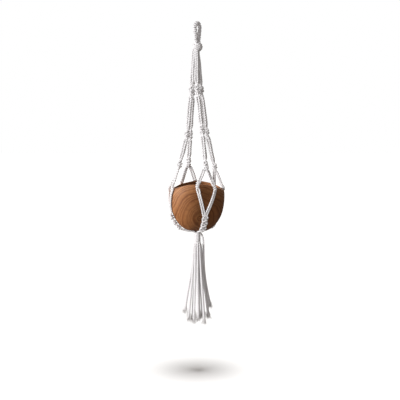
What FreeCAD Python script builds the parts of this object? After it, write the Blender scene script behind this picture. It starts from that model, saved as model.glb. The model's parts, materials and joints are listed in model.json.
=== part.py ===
import FreeCAD, Part

import math
import os

import Sketcher
from FreeCAD import Placement, Rotation, Vector

# A hanging macrame planter: a turned wooden bowl held in a sling of cotton cord. Eight cords are
# folded over at the top, so sixteen strands leave the crown knot: four arms of four strands. Each
# arm has three knots, splits into two pairs that are knotted at the rim of the bowl, and closes in
# a braid of square knots under it. All strands meet in a wrap below the bowl and end in a tassel.
#
# Origin: the inside top of the hanging loop, where the hook bears. +Z is up, so "depth" is how far
# below the origin a thing lies. Azimuth 0 is the front (-Y), and 90 degrees is the right side (+X).

DIMENSIONS = {
    "cord_diameter": 6.2,
    "clearance": 0.4,
    "strand_spread": 4.6,
    "pair_spread": 3.25,
    "loop_limb_diameter": 11.5,
    "loop_half_width": 12.0,
    "loop_neck_half_width": 6.1,
    "loop_neck_depth": 48.0,
    "loop_turn": 52.0,
    "crown_radius": 17.5,
    "crown_depth": 66.0,
    "crown_reach": 9.2,
    "crown_shift": -3.5,
    "rim_knot_gap": 0.8,
    "knot_width": 19.0,
    "knot_length": 25.0,
    "rim_knot_width": 13.2,
    "rim_knot_thickness": 10.4,
    "rim_knot_length": 19.0,
    "sinnet_width": 21.0,
    "sinnet_thickness": 11.0,
    "bowl_radius": 84.3,
    "bowl_widest_depth": 520.0,
    "bowl_lower_height": 114.0,
    "bowl_upper_height": 86.0,
    "bowl_fullness": 2.3,
    "bowl_base_depth": 627.0,
    "bowl_wall": 9.0,
    "bowl_floor_depth": 614.0,
    "rim_crest_depth": 482.0,
    "log_radius": 153.0,
    "base_cord_diameter": 7.3,
    "base_cord_reach": 5.5,
    "wrap_radius": 11.0,
    "wrap_bore": 9.4,
    "wrap_top_depth": 638.5,
    "wrap_bottom_depth": 668.0,
}

# Each arm: its azimuth, its three knots and its two rim knots, and the azimuth of its braid. A knot
# is (azimuth, reach, depth), and a rim knot is (azimuth, depth). The knots were tied by hand, so
# none is quite where its neighbours are.
ARMS = {
    "left": (-64, ((-68, 19.9, 197), (-63, 34.7, 332), (-64, 60.5, 424)), ((-98, 500), (-62, 487)), -80),
    "front": (26, ((-2, 16.5, 197), (24, 35.0, 319), (25, 60.2, 426)), ((1, 483), (38, 493)), 17),
    "right": (116, ((123, 13.7, 197), (119, 32.5, 326), (117, 59.3, 434)), ((114, 500), (143, 498)), 127),
    "back": (206, ((222, 20.7, 200), (215, 39.0, 335), (207, 61.0, 421)), ((183, 490), (218, 497)), 200),
}

# How an arm's four strands lie about its middle, as shares of their spread outwards and sideways.
FOUR_STRANDS = ((1, 0), (-1, 0), (0, 1), (0, -1))

# The cells that hold each kind of knot's length, width and thickness.
KNOT_SIZES = ("knot_length", "knot_width", "knot_width")
RIM_KNOT_SIZES = ("rim_knot_length", "rim_knot_width", "rim_knot_thickness")

# The depths of a braid's points, and of a cradle strand's as shares of its way down.
SINNET_DEPTHS = (576, 588, 600, 611, 620)
CRADLE_STEPS = (0.0, 0.28, 0.55, 0.8, 1.0)

# The tassel's strands, in the group of the arm they come from. Each is a route of points as
# (azimuth, reach, depth), from just under the wrap to the strand's frayed end.
TASSEL_STRANDS = {
    "front": (
        (
            (332, 12.2, 675), (331, 13.4, 713), (334, 15.8, 765),
            (336, 19, 815), (335, 22, 863), (333, 24, 911),
        ),
        (
            (5, 12.2, 675), (6, 13.6, 714), (3, 16.5, 767),
            (5, 20, 816), (7, 23.5, 862), (8, 26, 905),
        ),
        (
            (38, 12.2, 675), (37, 14.2, 712), (40, 18.6, 764),
            (38, 24.5, 814), (39, 30, 864), (39, 34, 914),
        ),
        (
            (10, 5.6, 675), (12, 6.0, 713), (5, 7.0, 766),
            (10, 8.6, 816), (14, 10, 861), (16, 11, 902),
        ),
    ),
    "right": (
        (
            (70, 12.2, 675), (71, 14.2, 713), (69, 18.4, 765),
            (71, 24.5, 814), (72, 31, 858), (69, 35.5, 896),
        ),
        (
            (103, 11.4, 675), (104, 12.6, 712), (106, 16, 764),
            (106, 24, 813), (105, 31, 858), (108, 36, 899),
        ),
        (
            (136, 12.2, 675), (135, 13.8, 714), (138, 17, 767),
            (135, 21.5, 816), (136, 26.5, 862), (137, 30, 903),
        ),
        (
            (82, 5.6, 675), (84, 6.3, 712), (89, 8.2, 764),
            (85, 11, 814), (86, 14, 859), (88, 16, 900),
        ),
    ),
    "back": (
        (
            (169, 12.2, 675), (170, 13.5, 713), (168, 16, 765),
            (170, 20.5, 815), (170, 25, 860), (168, 28, 900),
        ),
        (
            (201, 12.2, 675), (202, 13.6, 712), (200, 17, 766),
            (202, 22, 816), (203, 26.5, 864), (201, 30, 908),
        ),
        (
            (234, 12.2, 675), (233, 13.9, 714), (236, 17.6, 766),
            (235, 23.5, 815), (234, 29, 861), (236, 33, 902),
        ),
        (
            (154, 5.6, 675), (152, 6.1, 713), (150, 7.6, 765),
            (154, 9.5, 815), (156, 11.5, 862), (153, 13, 906),
        ),
    ),
    "left": (
        (
            (267, 12.2, 675), (268, 14.4, 712), (266, 19, 762),
            (267, 26.5, 806), (268, 33.5, 847), (267, 39, 884),
        ),
        (
            (300, 12.2, 675), (301, 13.9, 714), (299, 17.2, 767),
            (301, 22.5, 816), (302, 27.5, 862), (300, 31.5, 905),
        ),
        (
            (226, 5.6, 675), (228, 6.1, 713), (223, 8.0, 765),
            (226, 10.8, 814), (228, 13.2, 859), (225, 15, 899),
        ),
        (
            (298, 5.6, 675), (296, 6.2, 712), (300, 8.3, 764),
            (297, 11.4, 814), (296, 14.5, 862), (299, 17, 907),
        ),
    ),
}

# The free end of the wrapping cord: it bows out of the wrap's side and hangs with the tassel.
WRAP_TAIL = (
    (92, 14.7, 645),
    (93, 18.4, 656),
    (94, 19.3, 680),
    (93, 19.4, 716),
    (94, 21.6, 762),
    (93, 29.0, 815),
    (94, 40.0, 866),
)


def make_sheet(doc):
    """The driving dimensions, in millimetres and degrees, as named cells."""
    sheet = doc.addObject("Spreadsheet::Sheet", "Sizes")
    for row, (name, value) in enumerate(DIMENSIONS.items(), start=1):
        sheet.set(f"A{row}", name)
        sheet.set(f"B{row}", str(value))
        sheet.setAlias(f"B{row}", name)
    doc.recompute()
    return sheet


def at(azimuth, reach, depth):
    """A point at an azimuth and a distance from the vertical axis, that far below the origin."""
    angle = math.radians(azimuth)
    return Vector(reach * math.sin(angle), -reach * math.cos(angle), -depth)


def outward(azimuth):
    return at(azimuth, 1, 0)


def sideways(azimuth):
    return at(azimuth + 90, 1, 0)


def turned_along(direction, width_axis=None):
    """The rotation that lays a shape's own Z along a direction, and its X along the width axis."""
    if width_axis is None:
        return Rotation(Vector(0, 0, 1), direction)
    return Rotation(width_axis, Vector(0, 0, 0), direction, "ZXY")


def bowl_radius_at(size, depth, inset=0.0, base_inset=0.0):
    """The radius of the bowl's outside at a depth, or of its inside with the wall as the inset."""
    height = size["bowl_upper_height"]
    power = 2.0
    below = depth - size["bowl_widest_depth"]
    if below > 0:
        height = size["bowl_lower_height"] - base_inset
        power = size["bowl_fullness"]
    share = min(1.0, abs(below) / height)
    return (size["bowl_radius"] - inset) * (1 - share**power) ** (1 / power)


def beside_bowl(size, azimuth, depth, gap):
    """A point that stands off the bowl's outside by a gap, measured square to its surface."""
    step = 0.5
    above = Vector(bowl_radius_at(size, depth - step), 0, step)
    below = Vector(bowl_radius_at(size, depth + step), 0, -step)
    slope = above.sub(below)
    normal = Vector(slope.z, 0, -slope.x).normalize()
    reach = bowl_radius_at(size, depth) + normal.x * gap
    return at(azimuth, reach, depth - normal.z * gap)


def rim_knot_reach(size, depth, steps=20):
    """A rim knot's distance from the axis, at which the bowl turns clear of the whole knot."""
    half_length = size["rim_knot_length"] / 2
    half_thickness = size["rim_knot_thickness"] / 2
    reaches = []
    for step in range(steps):
        share = step / steps
        knot = half_thickness * math.sqrt(1 - share**2)
        reaches.append(bowl_radius_at(size, depth + share * half_length) + knot)
    return max(reaches) + size["rim_knot_gap"]


def rounded_wire(points, name=None):
    """A path of straight runs joined by tangent arcs, each as large as its two runs allow."""
    edges = []
    radii = []
    here = points[0]
    for before, corner, after in zip(points, points[1:], points[2:]):
        run_in = corner.sub(before)
        run_out = after.sub(corner)
        turn = run_in.getAngle(run_out)
        trim = 0.45 * min(run_in.Length, run_out.Length)
        radii.append(trim / math.tan(turn / 2))
        start = corner.sub(Vector(run_in).normalize() * trim)
        end = corner.add(Vector(run_out).normalize() * trim)
        bisector = Vector(run_out).normalize().sub(Vector(run_in).normalize()).normalize()
        middle = corner.add(bisector * (radii[-1] / math.cos(turn / 2) - radii[-1]))
        edges.append(Part.LineSegment(here, start).toShape())
        edges.append(Part.Arc(start, middle, end).toShape())
        here = end
    edges.append(Part.LineSegment(here, points[-1]).toShape())
    if name:
        print(f"{name}: arc radii {[round(r) for r in radii]} mm")
    return Part.Wire(edges)


def swept(path, section, side):
    """One solid of a section carried along a path, with its width kept along the side direction."""
    sweep = Part.BRepOffsetAPI.MakePipeShell(path)
    if side is None:
        sweep.setFrenetMode(False)
    else:
        sweep.setBiNormalMode(side)
    sweep.add(section)
    sweep.build()
    sweep.makeSolid()
    return sweep.shape()


def round_tube(points, radius, name=None):
    """A plain tube along a rounded route, checked against its section times its length."""
    path = rounded_wire(points, name)
    direction = points[1].sub(points[0])
    section = Part.Wire(Part.Circle(points[0], direction, radius).toShape())
    tube = swept(path, section, None)
    expected = math.pi * radius**2 * path.Length
    if abs(tube.Volume / expected - 1) > 0.01:
        raise RuntimeError(f"{name} sweeps to {tube.Volume:.0f} mm3, not {expected:.0f}")
    return tube, path.Length


class Planter:
    """The document, its sheet, and the nodes made so far."""

    def __init__(self):
        self.doc = FreeCAD.newDocument("MacramePlanter")
        self.sheet = make_sheet(self.doc)
        self.size = {name: float(self.sheet.get(name)) for name in DIMENSIONS}
        self.nodes = []

    def add(self, kind, label):
        made = self.doc.addObject(kind, label)
        made.Label = label
        return made

    def keep(self, made):
        """Marks an object as a sub-part of the planter, which is written to a file of its own."""
        self.nodes.append(made)
        return made

    def group(self, label, pieces):
        bundle = self.add("Part::Compound", label)
        bundle.Links = pieces
        return bundle

    def feature(self, label, shape):
        made = self.add("Part::Feature", label)
        made.Shape = shape
        made.Placement = Placement()
        return made

    def rod(self, label, start, end, radius):
        """A straight stretch of cord, its radius an expression on the sheet."""
        made = self.add("Part::Cylinder", label)
        made.setExpression("Radius", radius)
        made.Height = start.distanceToPoint(end)
        made.Placement = Placement(start, turned_along(end.sub(start)))
        return made

    def egg(self, label, centre, axis, side, sizes, extra="0"):
        """A knot as an egg shape: its length lies along the axis and its width along the side."""
        made = self.add("Part::Ellipsoid", label)
        length, width, thickness = sizes
        made.setExpression("Radius1", f"Sizes.{length} / 2 + {extra}")
        made.setExpression("Radius2", f"Sizes.{width} / 2 + {extra}")
        made.setExpression("Radius3", f"Sizes.{thickness} / 2 + {extra}")
        made.Placement = Placement(centre, turned_along(axis, side))
        return made

    def knot(self, label, centre, axis, side, sizes):
        """A knot, and a slightly larger shape that trims the cords to end just clear of it."""
        self.keep(self.egg(label, centre, axis, side, sizes))
        return self.egg(label + "_trim", centre, axis, side, sizes, "Sizes.clearance")

    def trimmed(self, label, pieces, trims):
        """Cords cut back to the knots at their ends, as separate solids of one node."""
        cut = self.add("Part::Cut", label)
        cut.Base = self.group(label + "_cords", pieces)
        cut.Tool = self.group(label + "_ends", trims)
        return self.keep(cut)


def make_hanging_loop(planter):
    """The loop over the hook: a teardrop whose two limbs come together at the crown knot."""
    size = planter.size
    radius = size["loop_half_width"]
    limb = size["loop_limb_diameter"] / 2
    centre = Vector(0, 0, limb - radius)
    neck = Vector(-size["loop_neck_half_width"], 0, -size["loop_neck_depth"])
    from_centre = neck.sub(centre)
    lean = math.acos(radius / from_centre.Length)
    heading = math.atan2(from_centre.z, from_centre.x) - lean
    touch = Vector(radius * math.cos(heading), 0, radius * math.sin(heading)).add(centre)
    top = centre.add(Vector(0, 0, radius))
    far_touch = Vector(-touch.x, 0, touch.z)
    far_neck = Vector(-neck.x, 0, neck.z)
    path = Part.Wire(
        [
            Part.LineSegment(neck, touch).toShape(),
            Part.Arc(touch, top, far_touch).toShape(),
            Part.LineSegment(far_touch, far_neck).toShape(),
        ]
    )
    section = Part.Wire(Part.Circle(neck, touch.sub(neck), limb).toShape())
    loop = planter.feature("hanging_loop", swept(path, section, Vector(0, 1, 0)))
    loop.Placement = Placement(Vector(), Rotation(Vector(0, 0, 1), size["loop_turn"]))
    print(f"hanging_loop: {path.Length:.0f} mm of braid round a {radius:.0f} mm radius")
    planter.keep(loop)


def make_crown_knot(planter):
    """The round knot that gathers all sixteen strands under the loop."""
    crown = planter.add("Part::Sphere", "crown_knot")
    crown.setExpression("Radius", "Sizes.crown_radius")
    crown.setExpression("Placement.Base.z", "-Sizes.crown_depth")
    planter.keep(crown)
    trim = planter.add("Part::Sphere", "crown_trim")
    trim.setExpression("Radius", "Sizes.crown_radius + Sizes.clearance")
    trim.setExpression("Placement.Base.z", "-Sizes.crown_depth")
    return trim


def four_strands(planter, label, start, end, azimuth, trims):
    """Four straight strands side by side between two knots."""
    spread = planter.size["strand_spread"]
    rods = []
    for number, (out, across) in enumerate(FOUR_STRANDS, start=1):
        shift = outward(azimuth) * (out * spread) + sideways(azimuth) * (across * spread)
        rods.append(planter.rod(f"{label}_{number}", start + shift, end + shift, "Sizes.cord_diameter / 2"))
    return planter.trimmed(label, rods, trims)


def make_leg(planter, label, start, end, trims):
    """Two straight strands, side by side, from an arm's lowest knot to a knot at the rim."""
    spread = planter.size["pair_spread"]
    along = end.sub(start).normalize()
    away = Vector(end.x, end.y, 0).normalize()
    across = along.cross(away).normalize()
    rods = []
    for number, sign in enumerate((-1, 1), start=1):
        shift = across * (sign * spread)
        rods.append(planter.rod(f"{label}_{number}", start + shift, end + shift, "Sizes.cord_diameter / 2"))
    planter.trimmed(label, rods, trims)


def cradle_route(planter, rim, sinnet_azimuth, lean, sign):
    """One strand of a pair down the bowl's side, from a rim knot to the top of the braid."""
    size = planter.size
    spread = size["pair_spread"]
    gap = size["cord_diameter"] / 2 + 2 * size["clearance"] + 0.6
    rim_azimuth, rim_depth = rim
    last_depth = SINNET_DEPTHS[0] - 6
    points = []
    for step in CRADLE_STEPS:
        depth = rim_depth + step * (last_depth - rim_depth)
        reach = bowl_radius_at(size, depth)
        end_shift = lean * 2 * spread
        azimuth = rim_azimuth + step * (sinnet_azimuth - rim_azimuth)
        shift = sign * spread + step * end_shift
        azimuth += math.degrees(shift / reach)
        points.append(beside_bowl(size, azimuth, depth, gap))
    knot = at(rim_azimuth, rim_knot_reach(size, rim_depth), rim_depth)
    points[0] = knot + sideways(rim_azimuth) * (sign * spread)
    return points


def make_cradle(planter, arm, rims, sinnet_azimuth, trims):
    """The two pairs of strands that run down the bowl as a V, and close on the braid."""
    label = f"{arm}_cradle_cords"
    radius = planter.size["cord_diameter"] / 2
    tubes = []
    for rim, lean in zip(rims, (-1, 1)):
        for sign in (-1, 1):
            points = cradle_route(planter, rim, sinnet_azimuth, lean, sign)
            name = f"{label}_{len(tubes) + 1}"
            tube, _ = round_tube(points, radius, name)
            tubes.append(planter.feature(name, tube))
    planter.trimmed(label, tubes, trims)


def make_sinnet(planter, arm, azimuth):
    """The braid of square knots, bent round the lower curve of the bowl."""
    size = planter.size
    width = size["sinnet_width"] / 2
    thickness = size["sinnet_thickness"] / 2
    gap = thickness + 2 * size["clearance"] + 0.8
    points = [beside_bowl(size, azimuth, depth, gap) for depth in SINNET_DEPTHS]
    label = f"{arm}_sinnet"
    path = rounded_wire(points, label)
    direction = points[1].sub(points[0]).normalize()
    side = sideways(azimuth)
    oval = Part.Ellipse(Vector(), width, thickness).toShape()
    section = Part.Wire(oval)
    section.Placement = Placement(points[0], turned_along(direction, side))
    planter.keep(planter.feature(label, swept(path, section, side)))
    return points[-1]


def make_arm(planter, arm, crown_trim):
    """One arm of the sling, from the crown knot down to the end of its braid."""
    size = planter.size
    azimuth, knots, rims, sinnet_azimuth = ARMS[arm]
    crown = at(azimuth, size["crown_reach"], size["crown_depth"] + 4) + Vector(size["crown_shift"], 0, 0)
    top, middle, lower = [at(*knot) for knot in knots]
    side = sideways(azimuth)
    top_trim = planter.knot(f"{arm}_top_knot", top, middle - crown, side, KNOT_SIZES)
    middle_trim = planter.knot(f"{arm}_middle_knot", middle, lower - top, side, KNOT_SIZES)
    lower_trim = planter.knot(f"{arm}_lower_knot", lower, lower - middle, side, KNOT_SIZES)
    four_strands(planter, f"{arm}_upper_cords", crown, top, azimuth, [crown_trim, top_trim])
    four_strands(planter, f"{arm}_middle_cords", top, middle, azimuth, [top_trim, middle_trim])
    four_strands(planter, f"{arm}_lower_cords", middle, lower, azimuth, [middle_trim, lower_trim])
    rim_trims = []
    for hand, sign, (rim_azimuth, rim_depth) in zip(("left", "right"), (-1, 1), rims):
        rim = at(rim_azimuth, rim_knot_reach(size, rim_depth), rim_depth)
        start = lower + side * (sign * size["pair_spread"])
        trim = planter.knot(
            f"{arm}_{hand}_rim_knot", rim, Vector(0, 0, -1), sideways(rim_azimuth), RIM_KNOT_SIZES
        )
        make_leg(planter, f"{arm}_{hand}_leg", start, rim, [lower_trim, trim])
        rim_trims.append(trim)
    make_cradle(planter, arm, rims, sinnet_azimuth, rim_trims)
    return make_sinnet(planter, arm, sinnet_azimuth)


def make_bowl(planter):
    """The bowl: turned from a log that lies front to back, with the log's own surface as its rim."""
    size = planter.size
    crest = size["rim_crest_depth"] - 4
    base = size["bowl_base_depth"]
    floor = size["bowl_floor_depth"]
    wall = size["bowl_wall"]
    thinning = base - floor

    def side_curve(first, last, inset, base_inset, steps=9):
        points = []
        for number in range(steps + 1):
            share = math.sin(math.pi / 2 * number / steps)
            depth = first + share * (last - first)
            points.append(Vector(bowl_radius_at(size, depth, inset, base_inset), 0, -depth))
        curve = Part.BSplineCurve()
        curve.interpolate(points)
        return curve.toShape(), points[0], points[-1]

    outside, outer_top, outer_base = side_curve(crest, base, 0, 0)
    inside, inner_top, inner_floor = side_curve(crest, floor, wall, thinning)
    base_centre = Vector(0, 0, -base)
    floor_centre = Vector(0, 0, -floor)
    outline = Part.Wire(
        Part.__sortEdges__(
            [
                outside,
                Part.LineSegment(outer_base, base_centre).toShape(),
                Part.LineSegment(base_centre, floor_centre).toShape(),
                Part.LineSegment(floor_centre, inner_floor).toShape(),
                inside,
                Part.LineSegment(inner_top, outer_top).toShape(),
            ]
        )
    )
    section = planter.feature("bowl_section", Part.Face(outline))
    turned = planter.add("Part::Revolution", "turned_bowl")
    turned.Source = section
    turned.Axis = Vector(0, 0, 1)
    turned.Angle = 360
    log = planter.add("Part::Cylinder", "log")
    log.setExpression("Radius", "Sizes.log_radius")
    log.setExpression("Height", "Sizes.bowl_radius * 3")
    log.Placement = Placement(
        Vector(0, 1.5 * size["bowl_radius"], -size["rim_crest_depth"] - size["log_radius"]),
        Rotation(Vector(1, 0, 0), 90),
    )
    bowl = planter.add("Part::Common", "wooden_bowl")
    bowl.Base = turned
    bowl.Tool = log
    planter.keep(bowl)


def make_base_cords(planter, sinnet_ends):
    """Each arm's strands, drawn together, from its braid to the middle under the bowl."""
    size = planter.size
    depth = size["bowl_base_depth"] + size["base_cord_diameter"] / 2 + 2 * size["clearance"]
    rods = []
    for (arm, data), end in zip(ARMS.items(), sinnet_ends):
        azimuth = data[3]
        inner = at(azimuth, size["base_cord_reach"] + 1.5, depth)
        outer = Vector(end.x, end.y, -depth)
        inward = inner.sub(outer).normalize()
        start = outer + inward * (size["sinnet_thickness"] / 2)
        rods.append(planter.rod(f"{arm}_base_cord", start, inner, "Sizes.base_cord_diameter / 2"))
    planter.keep(planter.group("base_cords", rods))


def make_wrap(planter):
    """The wrap that binds the strands below the bowl, as one sleeve."""
    body = planter.doc.addObject("PartDesign::Body", "gathering_wrap")
    body.Label = "gathering_wrap"
    sketch = body.newObject("Sketcher::SketchObject", "wrap_section")
    plane = next(f for f in body.Origin.OriginFeatures if f.Role == "XY_Plane")
    sketch.AttachmentSupport = [(plane, "")]
    sketch.MapMode = "FlatFace"
    for name in ("wrap_radius", "wrap_bore"):
        ring = sketch.addGeometry(Part.Circle(Vector(), Vector(0, 0, 1), planter.size[name]), False)
        sketch.addConstraint(Sketcher.Constraint("Coincident", ring, 3, -1, 1))
        sketch.addConstraint(Sketcher.Constraint("Radius", ring, planter.size[name]))
        sketch.renameConstraint(sketch.ConstraintCount - 1, name)
        sketch.setExpression(f"Constraints.{name}", f"Sizes.{name}")
    pad = body.newObject("PartDesign::Pad", "wrap_sleeve")
    pad.Profile = sketch
    pad.setExpression("Length", "Sizes.wrap_bottom_depth - Sizes.wrap_top_depth")
    body.Tip = pad
    body.setExpression("Placement.Base.z", "-Sizes.wrap_bottom_depth")
    planter.keep(body)


def make_gathered_cords(planter):
    """The strands inside the wrap, drawn into four tight bundles, one from each arm."""
    size = planter.size
    rods = []
    for arm, data in ARMS.items():
        top = at(data[0], size["base_cord_reach"], size["wrap_top_depth"])
        bottom = at(data[0], size["base_cord_reach"], size["wrap_bottom_depth"])
        rods.append(planter.rod(f"{arm}_gathered", top, bottom, "Sizes.base_cord_diameter / 2"))
    planter.keep(planter.group("gathered_cords", rods))


def make_tassel(planter):
    """The free ends of all the strands, and the tail of the wrap, each as a tube of its length."""
    radius = planter.size["cord_diameter"] / 2
    for group, strands in TASSEL_STRANDS.items():
        tubes = []
        for number, route in enumerate(strands, start=1):
            name = f"{group}_tassel_strand_{number}"
            tube, length = round_tube([at(*point) for point in route], radius, name)
            print(f"{name}: {length:.0f} mm long")
            tubes.append(planter.feature(name, tube))
        planter.keep(planter.group(f"{group}_tassel_strands", tubes))
    tail, length = round_tube([at(*point) for point in WRAP_TAIL], radius, "wrap_tail")
    print(f"wrap_tail: {length:.0f} mm long")
    planter.keep(planter.feature("wrap_tail", tail))


def check_and_write(planter):
    """Stops on any failed object or bad shape, then writes each sub-part to its own file."""
    planter.doc.recompute()
    for made in planter.doc.Objects:
        if "Invalid" in made.State or "Error" in made.State:
            raise RuntimeError(f"{made.Label} failed: {made.State}")
    for made in planter.nodes:
        if made.Shape.isNull() or not made.Shape.isValid():
            raise RuntimeError(f"{made.Label} has no valid shape")
        if not made.Shape.Solids:
            raise RuntimeError(f"{made.Label} holds no solid")
    os.makedirs("parts", exist_ok=True)
    for made in planter.nodes:
        made.Shape.exportStep(f"parts/{made.Label}.step")
        print(f"{made.Label}: {len(made.Shape.Solids)} solids, {made.Shape.Volume / 1000:.1f} cm3")
    print(f"{len(planter.nodes)} nodes written")


def main():
    planter = Planter()
    make_hanging_loop(planter)
    crown_trim = make_crown_knot(planter)
    sinnet_ends = [make_arm(planter, arm, crown_trim) for arm in ARMS]
    make_bowl(planter)
    make_base_cords(planter, sinnet_ends)
    make_wrap(planter)
    make_gathered_cords(planter)
    make_tassel(planter)
    check_and_write(planter)


main()
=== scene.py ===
import json
import math
import random

import bpy
import numpy as np
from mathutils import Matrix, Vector


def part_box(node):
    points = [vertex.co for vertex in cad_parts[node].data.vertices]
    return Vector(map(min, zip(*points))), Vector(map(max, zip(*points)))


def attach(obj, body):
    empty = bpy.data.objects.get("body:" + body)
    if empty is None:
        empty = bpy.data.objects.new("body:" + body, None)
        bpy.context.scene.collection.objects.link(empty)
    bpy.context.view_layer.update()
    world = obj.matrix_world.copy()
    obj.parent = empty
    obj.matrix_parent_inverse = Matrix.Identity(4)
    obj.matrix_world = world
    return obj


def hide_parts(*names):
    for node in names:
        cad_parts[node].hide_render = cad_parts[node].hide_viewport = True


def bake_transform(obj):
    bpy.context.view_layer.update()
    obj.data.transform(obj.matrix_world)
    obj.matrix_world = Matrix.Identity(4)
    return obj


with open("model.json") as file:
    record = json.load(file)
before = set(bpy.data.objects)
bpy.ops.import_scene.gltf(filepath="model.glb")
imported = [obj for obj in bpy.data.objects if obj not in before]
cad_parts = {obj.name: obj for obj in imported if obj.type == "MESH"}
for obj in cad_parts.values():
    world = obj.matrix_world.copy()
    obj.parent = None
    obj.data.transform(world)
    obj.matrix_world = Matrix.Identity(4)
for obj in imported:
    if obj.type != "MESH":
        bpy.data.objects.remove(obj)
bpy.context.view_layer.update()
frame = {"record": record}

# A hanging macrame planter, in metres: +Z up, the origin at the inside top of the hanging loop.
# Azimuth 0 is the front (-Y), 90 degrees is the right side (+X), and depth is measured downwards.

ARMS = ("left", "front", "right", "back")
MILLIMETRE = 0.001
CORD = 0.0062          # the cord's diameter where nothing squeezes it
LAY = 0.022            # the length of one full twist of the cord's three plies
STEP = 0.0018          # the spacing of the rings of vertices along a cord
SIDES = 18             # the vertices round a cord, six for each ply
FREE = CORD * 0.5      # the cord's radius between the knots
TIGHT = CORD * 0.45    # and where a knot squeezes it

# The bowl's outline, as the part's own source gives it: its widest radius and where that is, the
# heights and the fullness of its curve below and above that, its wall, and the log it came from.
BOWL_RADIUS = 0.0843
BOWL_WIDEST = 0.520
BOWL_LOWER = 0.114
BOWL_UPPER = 0.086
BOWL_FULLNESS = 2.3
BOWL_WALL = 0.009
LOG_RADIUS = 0.153


# ------------------------------ places

def at(azimuth, reach, depth):
    """A point at an azimuth in degrees and a reach from the axis, that far below the origin."""
    angle = math.radians(azimuth)
    return np.array([reach * math.sin(angle), -reach * math.cos(angle), -depth])


def unit(vector):
    return vector / np.linalg.norm(vector)


def centre_of(node):
    """The middle of a CAD node's box."""
    low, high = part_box(node)
    return (np.array(low) + np.array(high)) / 2


def depths_of(node):
    """How deep the top and the bottom of a CAD node lie."""
    low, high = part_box(node)
    return -high[2], -low[2]


def azimuth_of(point):
    """The azimuth of a point in degrees."""
    return math.degrees(math.atan2(point[0], -point[1]))


CROWN = centre_of("crown_knot")
RIM_CREST, BOWL_BASE = depths_of("wooden_bowl")
BOWL_FLOOR = next(-m["pos_m"][2] for m in frame["record"]["mounts"] if m["name"] == "bowl_floor")
WRAP_TOP, WRAP_BOTTOM = depths_of("gathering_wrap")


def bowl_radius_at(depth, inset=0.0, base_inset=0.0):
    """The radius of the bowl's outside at a depth, or of its inside with the wall as the inset."""
    height = BOWL_UPPER
    power = 2.0
    below = depth - BOWL_WIDEST
    if below > 0:
        height = BOWL_LOWER - base_inset
        power = BOWL_FULLNESS
    share = min(1.0, abs(below) / height)
    return (BOWL_RADIUS - inset) * (1 - share**power) ** (1 / power)


def beside_bowl(azimuth, depth, gap):
    """A point that stands off the bowl's outside by a gap, measured square to the wood."""
    step = 0.0005
    rise = bowl_radius_at(depth - step) - bowl_radius_at(depth + step)
    normal = unit(np.array([2 * step, rise]))
    return at(azimuth, bowl_radius_at(depth) + normal[0] * gap, depth + normal[1] * gap)


# ------------------------------ ropes

def smooth_line(points, step=STEP):
    """An even line of points through the given ones, and how far along it each given one is.

    It is a centripetal Catmull-Rom spline, traced more finely than the step and then respaced.
    """
    trace = step * 0.35
    points = np.array(points, float)
    ends = np.vstack([2 * points[0] - points[1], points, 2 * points[-1] - points[-2]])
    knots = np.concatenate([[0], np.cumsum(np.linalg.norm(np.diff(ends, axis=0), axis=1) ** 0.5)])
    fine = []
    marks = [0]
    for i in range(len(points) - 1):
        p0, p1, p2, p3 = ends[i : i + 4]
        t0, t1, t2, t3 = knots[i : i + 4]
        count = max(3, int(np.linalg.norm(p2 - p1) / trace))
        t = np.linspace(t1, t2, count, endpoint=False)[:, None]
        a1 = (t1 - t) / (t1 - t0) * p0 + (t - t0) / (t1 - t0) * p1
        a2 = (t2 - t) / (t2 - t1) * p1 + (t - t1) / (t2 - t1) * p2
        a3 = (t3 - t) / (t3 - t2) * p2 + (t - t2) / (t3 - t2) * p3
        b1 = (t2 - t) / (t2 - t0) * a1 + (t - t0) / (t2 - t0) * a2
        b2 = (t3 - t) / (t3 - t1) * a2 + (t - t1) / (t3 - t1) * a3
        fine.append((t2 - t) / (t2 - t1) * b1 + (t - t1) / (t2 - t1) * b2)
        marks.append(marks[-1] + count)
    fine = np.vstack(fine + [points[-1:]])
    along = length_along(fine)
    return respaced(fine, along, step), along[marks]


def respaced(fine, along, step):
    """The same line with its points one step apart."""
    count = max(4, int(round(along[-1] / step)) + 1)
    at_lengths = np.linspace(0, along[-1], count)
    return np.stack([np.interp(at_lengths, along, fine[:, k]) for k in range(3)], axis=1)


def length_along(line):
    """How far along the line each of its points lies."""
    return np.concatenate([[0], np.cumsum(np.linalg.norm(np.diff(line, axis=0), axis=1))])


def tangents_along(line):
    tangents = np.gradient(line, axis=0)
    return tangents / np.linalg.norm(tangents, axis=1)[:, None]


def value_at(here, along, rows):
    """The point, or the tangent, that lies so far along a line."""
    return np.array([np.interp(here, along, rows[:, k]) for k in range(3)])


def frames_along(line):
    """A normal and a binormal at each point, carried along with no twist of their own."""
    tangents = tangents_along(line)
    helper = np.array([0.0, 1.0, 0.0])
    if abs(tangents[0] @ helper) > 0.9:
        helper = np.array([1.0, 0.0, 0.0])
    normal = unit(np.cross(tangents[0], helper))
    normals = [normal]
    for tangent in tangents[1:]:
        normal = unit(normal - tangent * (normal @ tangent))
        normals.append(normal)
    normals = np.array(normals)
    return normals, np.cross(tangents, normals)


def directions_round(line, angles):
    """Directions square to a line, at angles round it that may differ from point to point."""
    normals, binormals = frames_along(line)
    across = normals[:, None, :] * np.cos(angles)[..., None]
    return across + binormals[:, None, :] * np.sin(angles)[..., None]


def ply_outline():
    """The reach of a three-ply cord's surface round one turn, starting in a groove.

    Both a ply's radius and its offset from the middle are shares of the cord's radius.
    """
    ply, offset = 0.53, 0.47
    angles = np.arange(SIDES) / SIDES * math.tau
    from_ridge = (angles % (math.tau / 3)) - math.pi / 3
    return angles, offset * np.cos(from_ridge) + np.sqrt(ply**2 - (offset * np.sin(from_ridge)) ** 2)


OUTLINE_ANGLES, OUTLINE = ply_outline()


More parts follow.
